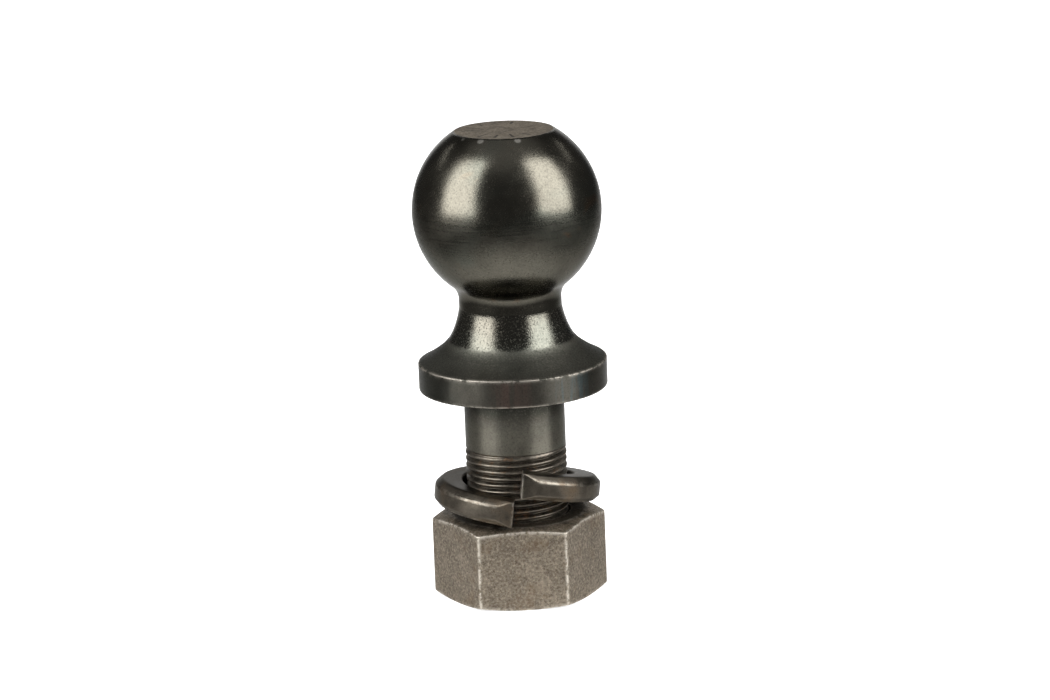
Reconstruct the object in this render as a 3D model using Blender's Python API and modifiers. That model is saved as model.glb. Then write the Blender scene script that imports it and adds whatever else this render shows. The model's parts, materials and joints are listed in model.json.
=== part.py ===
"""Trailer hitch ball: a one-piece ball, neck, flange and threaded shank, with its lock washer and hex nut.

Metres, +Z up along the shank. The origin is on the shank's axis, in the plane of the nut's bottom
face, so the part stands on the nut. The split of the lock washer faces -Y.
"""

import math

import bmesh
import bpy
from mathutils import Matrix

MM = 0.001

# Ball, 2-5/16 inch, with a flat forged top
BALL_RADIUS = 29.37 * MM
BALL_TOP_FLAT_RADIUS = 15.4 * MM

# Neck and flange, heights measured from the flange's flat underside
NECK_RADIUS = 16.0 * MM
NECK_TO_BALL_FILLET = 5.9 * MM
NECK_TO_FLANGE_FILLET = 16.5 * MM
FLANGE_RADIUS = 29.45 * MM
FLANGE_RIM_HEIGHT = 8.55 * MM
FLANGE_BEVEL_WIDTH = 3.6 * MM
FLANGE_BEVEL_HEIGHT = 1.85 * MM
FLANGE_TOP_SLOPE = math.radians(37.5)
FLANGE_LOWER_EDGE_ROUND = 0.6 * MM
BALL_CENTRE_ABOVE_FLANGE = 56.2 * MM

# Shank, 1-1/4 inch with 12 threads per inch
SHANK_RADIUS = 15.7 * MM
SHANK_LENGTH = 66.0 * MM
SHANK_CORNER_FILLET = 0.8 * MM
PLAIN_SHANK_LENGTH = 18.7 * MM
SHANK_END_CHAMFER = 2.0 * MM

# Thread, right-hand, 60 degrees between flanks
THREAD_PITCH = 25.4 / 12 * MM
THREAD_CREST_RADIUS = 15.85 * MM
THREAD_ROOT_RADIUS = 14.5 * MM
THREAD_ROOT_FLAT = 0.29 * MM
THREAD_FLANK_SLOPE = math.tan(math.radians(30))
THREAD_STEPS_PER_TURN = 20
THREAD_START_ANGLE = math.radians(2)
NUT_THREAD_CREST_RADIUS = 14.85 * MM
NUT_THREAD_ROOT_RADIUS = 16.15 * MM
NUT_FLANK_GAP = 0.24 * MM

# Hex nut for the 1-1/4 inch shank, 1-7/8 inch across its flats
NUT_ACROSS_FLATS = 47.6 * MM
NUT_HEIGHT = 26.1 * MM
NUT_CORNER_ANGLE = math.radians(2)
NUT_CORNER_ROUND = 1.0 * MM
NUT_FACE_RADIUS = 21.1 * MM
NUT_BOTTOM_FACE_RADIUS = 23.4 * MM
NUT_CHAMFER_SLOPE = math.tan(math.radians(15.5))
NUT_COUNTERSINK_RADIUS = 16.5 * MM
NUT_COUNTERSINK_SLOPE = math.tan(math.radians(30))

# Helical spring lock washer, left-hand, one turn less its split
WASHER_OUTER_RADIUS = 25.85 * MM
WASHER_INNER_RADIUS = 17.4 * MM
WASHER_THICKNESS = 8.0 * MM
WASHER_RISE = 9.24 * MM
WASHER_TOP_BEVEL = 2.1 * MM
WASHER_BOTTOM_BEVEL = 1.6 * MM
WASHER_BORE_BEVEL = 0.6 * MM
WASHER_UPPER_END_ANGLE = math.radians(-88.3)
WASHER_SWEEP_ANGLE = math.radians(355.1)
WASHER_STEPS = 40

# The loose washer leans on the nut, its far right side lowest; its own origin is on its coil's axis
# at the middle of its upper end
WASHER_TILT = math.radians(9.4)
WASHER_LOW_SIDE_ANGLE = math.radians(41.6)
WASHER_PLACE = (0.54 * MM, 0.5 * MM, 37.75 * MM)

SHANK_END_RECESS = 0.3 * MM
CUT_OVERLAP = 0.1 * MM
RIDGE_BURIAL = 0.2 * MM
MERGE_DISTANCE = 0.001 * MM

# How finely curves are divided
TURNED_STEPS = 32
BALL_STEPS = 12
FLARE_STEPS = 6
NECK_FILLET_STEPS = 4
EDGE_STEPS = 2
SMOOTH_ANGLE = math.radians(30)

# Heights above the origin
SHANK_END_Z = SHANK_END_RECESS
FLANGE_UNDERSIDE_Z = SHANK_END_Z + SHANK_LENGTH
THREAD_TOP_Z = FLANGE_UNDERSIDE_Z - PLAIN_SHANK_LENGTH
BALL_CENTRE_Z = FLANGE_UNDERSIDE_Z + BALL_CENTRE_ABOVE_FLANGE


def clear_scene():
    for thing in list(bpy.data.objects):
        bpy.data.objects.remove(thing, do_unlink=True)


def new_collection(name):
    collection = bpy.data.collections.new(name)
    bpy.context.scene.collection.children.link(collection)
    return collection


def steel(name, colour, roughness, metallic):
    material = bpy.data.materials.new(name)
    material.use_nodes = True
    shader = material.node_tree.nodes["Principled BSDF"]
    shader.inputs["Base Color"].default_value = (*colour, 1)
    shader.inputs["Roughness"].default_value = roughness
    shader.inputs["Metallic"].default_value = metallic
    return material


def add_object(name, collection):
    thing = bpy.data.objects.new(name, bpy.data.meshes.new(name))
    collection.objects.link(thing)
    return thing


def arc(centre, radius, start, end, steps):
    """Points (radius, height) along an arc, its two ends included."""
    points = []
    for step in range(steps + 1):
        angle = start + (end - start) * step / steps
        points.append((centre[0] + radius * math.cos(angle), centre[1] + radius * math.sin(angle)))
    return points


def turned(name, collection, profile):
    """A solid of revolution about Z from (radius, height) points that run from top to bottom."""
    thing = add_object(name, collection)
    vertices = [(radius, 0, height) for radius, height in profile]
    edges = [(index, index + 1) for index in range(len(profile) - 1)]
    thing.data.from_pydata(vertices, edges, [])
    screw = thing.modifiers.new("turn", "SCREW")
    screw.axis = "Z"
    screw.steps = TURNED_STEPS
    screw.render_steps = TURNED_STEPS
    screw.use_merge_vertices = True
    screw.merge_threshold = MERGE_DISTANCE
    return thing


def swept_helix(name, collection, section, start_angle, sweep, rise, steps):
    """A closed solid: a section of (radius, height) points carried round Z, climbing evenly."""
    thing = add_object(name, collection)
    work = bmesh.new()
    corners = [
        work.verts.new((radius * math.cos(start_angle), radius * math.sin(start_angle), height))
        for radius, height in section
    ]
    edges = [work.edges.new((corners[index - 1], corners[index])) for index in range(len(corners))]
    bmesh.ops.spin(
        work,
        geom=corners + edges,
        cent=(0, 0, 0),
        axis=(0, 0, 1),
        dvec=(0, 0, rise / steps),
        angle=sweep,
        steps=steps,
    )
    bmesh.ops.holes_fill(work, edges=work.edges[:], sides=len(section))
    bmesh.ops.recalc_face_normals(work, faces=work.faces[:])
    work.to_mesh(thing.data)
    work.free()
    return thing


def combine(thing, tool, operation):
    boolean = thing.modifiers.new(operation.lower(), "BOOLEAN")
    boolean.operation = operation
    boolean.object = tool


def hide_tools(collection):
    for tool in collection.objects:
        tool.hide_render = True
        tool.display_type = "WIRE"


def finish(thing, material):
    thing.data.materials.append(material)
    thing.data.shade_smooth()
    thing.data.set_sharp_from_angle(angle=SMOOTH_ANGLE)


def thread_ridge_width(radius):
    """Axial width of the shank's thread ridge at a radius."""
    return THREAD_PITCH - THREAD_ROOT_FLAT - 2 * (radius - THREAD_ROOT_RADIUS) * THREAD_FLANK_SLOPE


def thread_sweep(name, collection, inner, outer, extra_width, bottom, top):
    """The helical ridge between two radii, in whole turns between two heights, widened by a clearance."""
    turns = math.floor((top - bottom) / THREAD_PITCH)
    half_inner = (thread_ridge_width(inner) + extra_width) / 2
    half_outer = (thread_ridge_width(outer) + extra_width) / 2
    section = [
        (inner, bottom + half_inner),
        (outer, bottom + half_outer),
        (outer, bottom - half_outer),
        (inner, bottom - half_inner),
    ]
    steps = turns * THREAD_STEPS_PER_TURN
    sweep = turns * math.tau
    return swept_helix(name, collection, section, THREAD_START_ANGLE, sweep, turns * THREAD_PITCH, steps)


def ball_profile():
    """Outline from the flat top, round the ball to the neck."""
    flat_angle = math.acos(BALL_TOP_FLAT_RADIUS / BALL_RADIUS)
    fillet_centre_radius = NECK_RADIUS + NECK_TO_BALL_FILLET
    fillet_centre_drop = math.sqrt((BALL_RADIUS + NECK_TO_BALL_FILLET) ** 2 - fillet_centre_radius**2)
    meeting_angle = -math.atan2(fillet_centre_drop, fillet_centre_radius)
    top = (0, BALL_CENTRE_Z + BALL_RADIUS * math.sin(flat_angle))
    ball = arc((0, BALL_CENTRE_Z), BALL_RADIUS, flat_angle, meeting_angle, BALL_STEPS)
    fillet_centre = (fillet_centre_radius, BALL_CENTRE_Z - fillet_centre_drop)
    fillet_start = meeting_angle + math.pi
    fillet = arc(fillet_centre, NECK_TO_BALL_FILLET, fillet_start, math.pi, NECK_FILLET_STEPS)
    return [top] + ball + fillet[1:]


def flange_profile():
    """Outline from the neck down its flare, over the rim and under the flange to the shank."""
    bevel_top = (
        FLANGE_RADIUS - FLANGE_BEVEL_WIDTH,
        FLANGE_UNDERSIDE_Z + FLANGE_RIM_HEIGHT + FLANGE_BEVEL_HEIGHT,
    )
    flare_centre_radius = NECK_RADIUS + NECK_TO_FLANGE_FILLET
    flare_end_angle = math.pi * 1.5 - FLANGE_TOP_SLOPE
    flare_end_radius = flare_centre_radius + NECK_TO_FLANGE_FILLET * math.cos(flare_end_angle)
    flare_end_z = bevel_top[1] + math.tan(FLANGE_TOP_SLOPE) * (bevel_top[0] - flare_end_radius)
    flare_centre_z = flare_end_z - NECK_TO_FLANGE_FILLET * math.sin(flare_end_angle)
    flare_centre = (flare_centre_radius, flare_centre_z)
    flare = arc(flare_centre, NECK_TO_FLANGE_FILLET, math.pi, flare_end_angle, FLARE_STEPS)
    lower_edge_centre = (
        FLANGE_RADIUS - FLANGE_LOWER_EDGE_ROUND,
        FLANGE_UNDERSIDE_Z + FLANGE_LOWER_EDGE_ROUND,
    )
    lower_edge = arc(lower_edge_centre, FLANGE_LOWER_EDGE_ROUND, 0, -math.pi / 2, EDGE_STEPS)
    corner_centre = (SHANK_RADIUS + SHANK_CORNER_FILLET, FLANGE_UNDERSIDE_Z - SHANK_CORNER_FILLET)
    corner = arc(corner_centre, SHANK_CORNER_FILLET, math.pi / 2, math.pi, EDGE_STEPS)
    rim_top = (FLANGE_RADIUS, FLANGE_UNDERSIDE_Z + FLANGE_RIM_HEIGHT)
    return flare + [bevel_top, rim_top] + lower_edge + corner


def shank_profile():
    """Outline of the plain shank and of the core that the thread stands on."""
    relief = SHANK_RADIUS - THREAD_ROOT_RADIUS
    return [
        (SHANK_RADIUS, THREAD_TOP_Z),
        (THREAD_ROOT_RADIUS, THREAD_TOP_Z - relief),
        (THREAD_ROOT_RADIUS, SHANK_END_Z),
        (0, SHANK_END_Z),
    ]


def make_hitch_ball(parts, tools):
    ball = turned("hitch_ball", parts, ball_profile() + flange_profile() + shank_profile())
    ridge = thread_sweep(
        "shank_thread_ridge",
        tools,
        THREAD_ROOT_RADIUS - RIDGE_BURIAL,
        THREAD_CREST_RADIUS,
        0,
        SHANK_END_Z - THREAD_PITCH,
        THREAD_TOP_Z,
    )
    combine(ball, ridge, "UNION")
    trim_radius = FLANGE_RADIUS
    trim_bottom = SHANK_END_Z - 4 * THREAD_PITCH
    chamfer_top_radius = THREAD_CREST_RADIUS + CUT_OVERLAP
    end_trim = turned(
        "shank_end_trim",
        tools,
        [
            (0, SHANK_END_Z),
            (chamfer_top_radius - SHANK_END_CHAMFER, SHANK_END_Z),
            (chamfer_top_radius, SHANK_END_Z + SHANK_END_CHAMFER),
            (trim_radius, SHANK_END_Z + SHANK_END_CHAMFER),
            (trim_radius, trim_bottom),
            (0, trim_bottom),
        ],
    )
    combine(ball, end_trim, "DIFFERENCE")
    finish(ball, steel("black_oxide_steel", (0.06, 0.058, 0.055), 0.34, 0.9))


def nut_blank(parts):
    """A hexagonal prism with lightly rounded corners, its bottom face at the origin."""
    nut = add_object("hex_nut", parts)
    work = bmesh.new()
    corner_radius = NUT_ACROSS_FLATS / math.sqrt(3)
    bmesh.ops.create_cone(
        work,
        cap_ends=True,
        segments=6,
        radius1=corner_radius,
        radius2=corner_radius,
        depth=NUT_HEIGHT,
    )
    bmesh.ops.translate(work, verts=work.verts[:], vec=(0, 0, NUT_HEIGHT / 2))
    uprights = [edge for edge in work.edges if edge.verts[0].co.z != edge.verts[1].co.z]
    bmesh.ops.bevel(
        work, geom=uprights, offset=NUT_CORNER_ROUND, segments=EDGE_STEPS, profile=0.5, affect="EDGES"
    )
    work.to_mesh(nut.data)
    work.free()
    nut.rotation_euler = (0, 0, NUT_CORNER_ANGLE - math.tau / 12)
    return nut


def make_hex_nut(parts, tools):
    nut = nut_blank(parts)
    beyond_corners = NUT_ACROSS_FLATS / math.sqrt(3) + CUT_OVERLAP
    chamfer_drop = (beyond_corners - NUT_FACE_RADIUS) * NUT_CHAMFER_SLOPE
    bottom_drop = (beyond_corners - NUT_BOTTOM_FACE_RADIUS) * NUT_CHAMFER_SLOPE
    envelope = turned(
        "nut_chamfer_envelope",
        tools,
        [
            (0, NUT_HEIGHT),
            (NUT_FACE_RADIUS, NUT_HEIGHT),
            (beyond_corners, NUT_HEIGHT - chamfer_drop),
            (beyond_corners, bottom_drop),
            (NUT_BOTTOM_FACE_RADIUS, 0),
            (0, 0),
        ],
    )
    combine(nut, envelope, "INTERSECT")
    sink_depth = (NUT_COUNTERSINK_RADIUS - NUT_THREAD_CREST_RADIUS) * NUT_COUNTERSINK_SLOPE
    over = CUT_OVERLAP
    wide = NUT_COUNTERSINK_RADIUS + over / NUT_COUNTERSINK_SLOPE
    bore = turned(
        "nut_bore",
        tools,
        [
            (0, NUT_HEIGHT + over),
            (wide, NUT_HEIGHT + over),
            (NUT_THREAD_CREST_RADIUS, NUT_HEIGHT - sink_depth),
            (NUT_THREAD_CREST_RADIUS, sink_depth),
            (wide, -over),
            (0, -over),
        ],
    )
    combine(nut, bore, "DIFFERENCE")
    groove = thread_sweep(
        "nut_thread_groove",
        tools,
        NUT_THREAD_CREST_RADIUS - CUT_OVERLAP,
        NUT_THREAD_ROOT_RADIUS,
        2 * NUT_FLANK_GAP,
        SHANK_END_Z - THREAD_PITCH,
        NUT_HEIGHT + 2 * THREAD_PITCH,
    )
    combine(nut, groove, "DIFFERENCE")
    finish(nut, steel("bare_tumbled_steel", (0.27, 0.235, 0.205), 0.46, 0.85))


def washer_lean():
    """Turns the washer about a level line through its origin, then moves it to its place."""
    level_line = (-math.sin(WASHER_LOW_SIDE_ANGLE), math.cos(WASHER_LOW_SIDE_ANGLE), 0)
    return Matrix.Translation(WASHER_PLACE) @ Matrix.Rotation(WASHER_TILT, 4, level_line)


def make_lock_washer(parts):
    top = WASHER_THICKNESS / 2
    bottom = -top
    section = [
        (WASHER_INNER_RADIUS, bottom + WASHER_BORE_BEVEL),
        (WASHER_INNER_RADIUS, top - WASHER_BORE_BEVEL),
        (WASHER_INNER_RADIUS + WASHER_BORE_BEVEL, top),
        (WASHER_OUTER_RADIUS - WASHER_TOP_BEVEL, top),
        (WASHER_OUTER_RADIUS, top - WASHER_TOP_BEVEL),
        (WASHER_OUTER_RADIUS, bottom + WASHER_BOTTOM_BEVEL),
        (WASHER_OUTER_RADIUS - WASHER_BOTTOM_BEVEL, bottom),
        (WASHER_INNER_RADIUS + WASHER_BORE_BEVEL, bottom),
    ]
    washer = swept_helix(
        "lock_washer",
        parts,
        section,
        WASHER_UPPER_END_ANGLE,
        WASHER_SWEEP_ANGLE,
        -WASHER_RISE,
        WASHER_STEPS,
    )
    washer.data.transform(washer_lean())
    finish(washer, steel("dark_spring_steel", (0.075, 0.074, 0.072), 0.38, 0.9))


def main():
    clear_scene()
    parts = new_collection("trailer_hitch_ball")
    tools = new_collection("construction_tools")
    make_hitch_ball(parts, tools)
    make_hex_nut(parts, tools)
    make_lock_washer(parts)
    hide_tools(tools)


main()
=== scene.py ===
"""Looks of the trailer hitch ball: fine surfaces, procedural steels, studio light and camera.

Lengths are metres. The fine pieces repeat the CAD sizes, and stand in for the CAD nodes.
"""

import json
import math

import bpy
from mathutils import Matrix, Quaternion, Vector, noise


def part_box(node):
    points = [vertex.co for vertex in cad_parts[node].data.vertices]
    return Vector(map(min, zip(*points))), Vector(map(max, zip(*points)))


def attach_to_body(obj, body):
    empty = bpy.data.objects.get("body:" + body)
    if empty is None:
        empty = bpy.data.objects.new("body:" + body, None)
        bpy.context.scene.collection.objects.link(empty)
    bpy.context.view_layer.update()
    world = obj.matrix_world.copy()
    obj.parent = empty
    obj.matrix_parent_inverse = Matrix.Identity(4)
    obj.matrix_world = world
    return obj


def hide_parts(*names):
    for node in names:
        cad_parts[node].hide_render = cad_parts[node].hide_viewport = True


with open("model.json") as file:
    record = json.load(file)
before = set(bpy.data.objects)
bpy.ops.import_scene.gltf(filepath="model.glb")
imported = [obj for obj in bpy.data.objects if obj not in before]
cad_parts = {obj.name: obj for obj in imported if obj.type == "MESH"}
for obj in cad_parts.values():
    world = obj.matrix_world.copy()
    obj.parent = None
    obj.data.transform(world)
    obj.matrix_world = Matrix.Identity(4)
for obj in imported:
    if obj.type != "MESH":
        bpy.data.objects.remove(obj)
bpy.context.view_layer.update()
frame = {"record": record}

MM = 0.001

# Heights and widths that the frame gives
BALL_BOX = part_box("hitch_ball")
NUT_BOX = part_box("hex_nut")
MOUNTS = {mount["name"]: mount for mount in frame["record"]["mounts"]}
UNDERSIDE_Z = MOUNTS["flange_underside"]["pos_m"][2]
FLANGE_RADIUS = (BALL_BOX[1][0] - BALL_BOX[0][0]) / 2
FLAT_TOP_Z = BALL_BOX[1][2]
SHANK_END_Z = BALL_BOX[0][2]
NUT_TOP_Z = NUT_BOX[1][2]

# Ball, neck and flange
BALL_RADIUS = 29.37 * MM
BALL_CENTRE_Z = UNDERSIDE_Z + 56.2 * MM
NECK_RADIUS = 16.0 * MM
NECK_TO_BALL_FILLET = 5.9 * MM
FLARE_TOP_Z = UNDERSIDE_Z + 25.95 * MM
FLARE_RADII = (28.2 * MM, 13.7 * MM)
FLARE_TILTS = (math.radians(8), math.radians(25), math.radians(52.5))
FLARE_MATT_BELOW_Z = UNDERSIDE_Z + 15.9 * MM
FLAT_EDGE_ROUND = 0.45 * MM
FLANGE_RIM_HEIGHT = 8.55 * MM
FLANGE_TOP_EDGE_ROUND = 0.35 * MM
FLANGE_BOTTOM_EDGE_ROUND = 0.6 * MM
FLANGE_SHOULDER_IN = 3.6 * MM
FLANGE_SHOULDER_UP = 1.85 * MM
FLANGE_SHOULDER_ROUND = 36 * MM
FORGED_DIP = 0.09 * MM
BALL_COLUMNS = 192
SHANK_RADIUS = 15.7 * MM
SHANK_CORNER_FILLET = 0.8 * MM

# Thread: right-hand, its ridge at the CAD start angle at rest
PITCH = 25.4 / 12 * MM
THREAD_TOP_Z = UNDERSIDE_Z - 18.7 * MM
THREAD_START_ANGLE = math.radians(2)
CREST_RADIUS = 15.83 * MM
CREST_HALF_WIDTH = 0.27 * MM
ROOT_RADIUS = 14.5 * MM
FLANK_SLOPE = math.tan(math.radians(30))
THREAD_COLUMNS = 128
END_CHAMFER = 1.9 * MM
END_DISH = 0.2 * MM

# Nut
NUT_APOTHEM = 23.8 * MM
NUT_CORNER_ROUND = 2.0 * MM
NUT_CORNER_ANGLE = math.radians(2)
SIXTH_TURN = math.tau / 6
NUT_FACE_RADIUS = 21.1 * MM
NUT_BOTTOM_FACE_RADIUS = 23.4 * MM
NUT_CHAMFER_SLOPE = math.tan(math.radians(15.5))
NUT_SINK_RADIUS = 16.5 * MM
NUT_SINK_SLOPE = math.tan(math.radians(30))
NUT_BORE_CREST = 14.85 * MM
NUT_BORE_ROOT = 16.15 * MM
NUT_BORE_MARGIN = 0.2 * MM
NUT_STEPS_PER_SIDE = 40

# Washer, built about its own coil axis with its upper end's middle at zero height, then leant
WASHER_OUTER_RADIUS = 25.85 * MM
WASHER_INNER_RADIUS = 17.4 * MM
WASHER_THICKNESS = 8.0 * MM
WASHER_RISE = 9.24 * MM
WASHER_UPPER_END_ANGLE = math.radians(-88.3)
WASHER_SWEEP = math.radians(355.1)
WASHER_TILT = math.radians(9.4)
WASHER_LOW_SIDE_ANGLE = math.radians(41.6)
WASHER_PLACE = (0.54 * MM, 0.5 * MM, 37.75 * MM)
WASHER_TOP_BEVEL = 2.1 * MM
WASHER_BOTTOM_BEVEL = 1.6 * MM
WASHER_BEVEL_RUN_OUT = 5 * MM
WASHER_STEPS = 220
WASHER_PINCH = 0.35 * MM
WASHER_PINCH_LENGTH = 4.5 * MM

# How far wear reaches from an edge, from the flat's edge, from the nut's upright corners (within
# the side's depth), from the washer's sheared ends, and from a ridge's middle as a share of the pitch
WEAR_WIDTH = 0.55 * MM
FLAT_WEAR_WIDTH = 0.4 * MM
CORNER_WEAR_WIDTH = 0.4 * MM
NUT_SIDE_DEPTH = 0.2 * MM
BURR_WIDTH = 0.28 * MM
RIDGE_WEAR_SHARE = 0.09


# ---------------------------------------------------------------- outlines and grids


class Outline:
    """A cross-section from top to bottom: points with radius, height, material index and edge wear."""

    def __init__(self):
        self.points = []

    def add(self, radius, height, zone):
        if self.points and math.hypot(radius - self.points[-1][0], height - self.points[-1][1]) < 1e-9:
            return
        self.points.append([radius, height, zone, 0.0])

    def line(self, radius, height, zone, step=0.9 * MM, count=0):
        """A straight run, with its points closer together near both ends."""
        start_radius, start_height = self.points[-1][:2]
        length = math.hypot(radius - start_radius, height - start_height)
        count = count or max(4, int(length / step) + 4)
        for index in range(1, count + 1):
            share = (1 - math.cos(math.pi * index / count)) / 2
            self.add(
                start_radius + (radius - start_radius) * share,
                start_height + (height - start_height) * share,
                zone,
            )

    def arc(self, centre, radius, start, end, zone, count):
        for index in range(count + 1):
            angle = start + (end - start) * index / count
            self.add(centre[0] + radius * math.cos(angle), centre[1] + radius * math.sin(angle), zone)

    def wear(self, radius, height, strength, width):
        """Edge wear that fades with distance from a corner of the outline."""
        for point in self.points:
            distance = math.hypot(point[0] - radius, point[1] - height)
            point[3] = max(point[3], strength * math.exp(-((distance / width) ** 2)))


def rounded_outline(corners, fillet_steps=6, line_steps=0):
    """An outline from (radius, height, fillet, zone, wear) corners; zone is of the run that follows."""
    outline = Outline()
    outline.add(corners[0][0], corners[0][1], corners[0][3])
    for before, corner, after in zip(corners, corners[1:], corners[2:]):
        here = Vector(corner[:2])
        back = (Vector(before[:2]) - here).normalized()
        ahead = (Vector(after[:2]) - here).normalized()
        half = back.angle(ahead) / 2
        reach = corner[2] / math.tan(half)
        centre = here + (back + ahead).normalized() * (corner[2] / math.sin(half))
        start = here + back * reach - centre
        turn = math.pi - 2 * half
        side = 1 if back.x * ahead.y - back.y * ahead.x < 0 else -1
        outline.line(*(centre + start), before[3], count=line_steps)
        for step in range(1, fillet_steps + 1):
            angle = side * turn * step / fillet_steps
            spoke = Matrix.Rotation(angle, 2) @ start
            outline.add(*(centre + spoke), before[3])
    outline.line(corners[-1][0], corners[-1][1], corners[-2][3], count=line_steps)
    for corner in corners:
        if corner[4]:
            outline.wear(corner[0], corner[1], corner[4], WEAR_WIDTH)
    return outline


def grid_faces(rows, columns):
    """Quads between rows that each close on themselves, facing outwards where the rows run down."""
    faces = []
    for row in range(rows - 1):
        for column in range(columns):
            right = (column + 1) % columns
            here, below = row * columns, (row + 1) * columns
            faces.append((here + column, below + column, below + right, here + right))
    return faces


def new_piece(name, vertices, faces, zones, wear, materials):
    mesh = bpy.data.meshes.new(name)
    mesh.from_pydata(vertices, [], faces)
    for material in materials:
        mesh.materials.append(material)
    mesh.polygons.foreach_set("material_index", zones)
    attribute = mesh.attributes.new("edge_wear", "FLOAT", "POINT")
    attribute.data.foreach_set("value", wear)
    mesh.shade_smooth()
    mesh.update()
    piece = bpy.data.objects.new(name, mesh)
    bpy.context.scene.collection.objects.link(piece)
    return piece


def join_parts(parts):
    """One list of vertices, faces, zones and wear from several."""
    vertices, faces, zones, wear = [], [], [], []
    for part_vertices, part_faces, part_zones, part_wear in parts:
        offset = len(vertices)
        vertices += part_vertices
        faces += [tuple(offset + index for index in face) for face in part_faces]
        zones += part_zones
        wear += part_wear
    return vertices, faces, zones, wear


def turned_part(outline, angles, shape=None):
    """The outline carried round Z. shape may move each point: shape(radius, height, angle)."""
    vertices, wear = [], []
    for radius, height, _, edge in outline.points:
        for angle in angles:
            r, z = shape(radius, height, angle) if shape else (radius, height)
            vertices.append((r * math.cos(angle), r * math.sin(angle), z))
            wear.append(edge)
    faces = grid_faces(len(outline.points), len(angles))
    zones = []
    for point in outline.points[1:]:
        zones += [point[2]] * len(angles)
    return vertices, faces, zones, wear


def ridge_radius(phase, crest, root):
    """Radius of a 60 degree thread at a share of its pitch from the ridge's middle."""
    distance = abs((phase + 0.5) % 1 - 0.5) * PITCH
    run = (crest - root) * FLANK_SLOPE
    share = min(max((distance - CREST_HALF_WIDTH) / run, 0), 1)
    return crest + (root - crest) * share


def thread_part(low, high, crest, root, limit, zone, inward=False):
    """A helical sleeve between two heights. limit(radius, height) keeps each point inside the blank."""
    phases = [0, 0.035, 0.07, 0.14, 0.24, 0.34, 0.42, 0.46, 0.5, 0.54, 0.58, 0.66, 0.76, 0.86, 0.93, 0.965]
    first = math.floor(low / PITCH) - 2
    last = math.ceil(high / PITCH) + 2
    levels = [turn + phase for turn in range(first, last) for phase in phases]
    levels.reverse()
    per_turn = len(phases)
    vertices, wear, clamped = [], [], []
    for level in levels:
        for column in range(THREAD_COLUMNS):
            angle = math.tau * column / THREAD_COLUMNS
            turn = (angle - THREAD_START_ANGLE) / math.tau
            height = SHANK_END_Z + PITCH * (level + turn)
            kept = min(max(height, low), high)
            radius = limit(ridge_radius(level, crest, root), kept)
            vertices.append((radius * math.cos(angle), radius * math.sin(angle), kept))
            ridge = abs((level + 0.5) % 1 - 0.5)
            wear.append(math.exp(-((ridge / RIDGE_WEAR_SHARE) ** 2)))
            clamped.append((height > high) - (height < low))
    faces = []
    for row in range(len(levels) - 1):
        for column in range(THREAD_COLUMNS):
            right = column + 1
            shift = 0
            if right == THREAD_COLUMNS:
                right = 0
                shift = per_turn
            corners = [(row, column), (row + 1, column), (row + 1 - shift, right), (row - shift, right)]
            if min(corner[0] for corner in corners) < 0:
                continue
            face = tuple(corner_row * THREAD_COLUMNS + corner_column for corner_row, corner_column in corners)
            ends = {clamped[index] for index in face}
            if ends in ({1}, {-1}):
                continue
            faces.append(face[::-1] if inward else face)
    return vertices, faces, [zone] * len(faces), wear


def round_angles(count):
    return [math.tau * index / count for index in range(count)]


# ---------------------------------------------------------------- the three pieces


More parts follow.
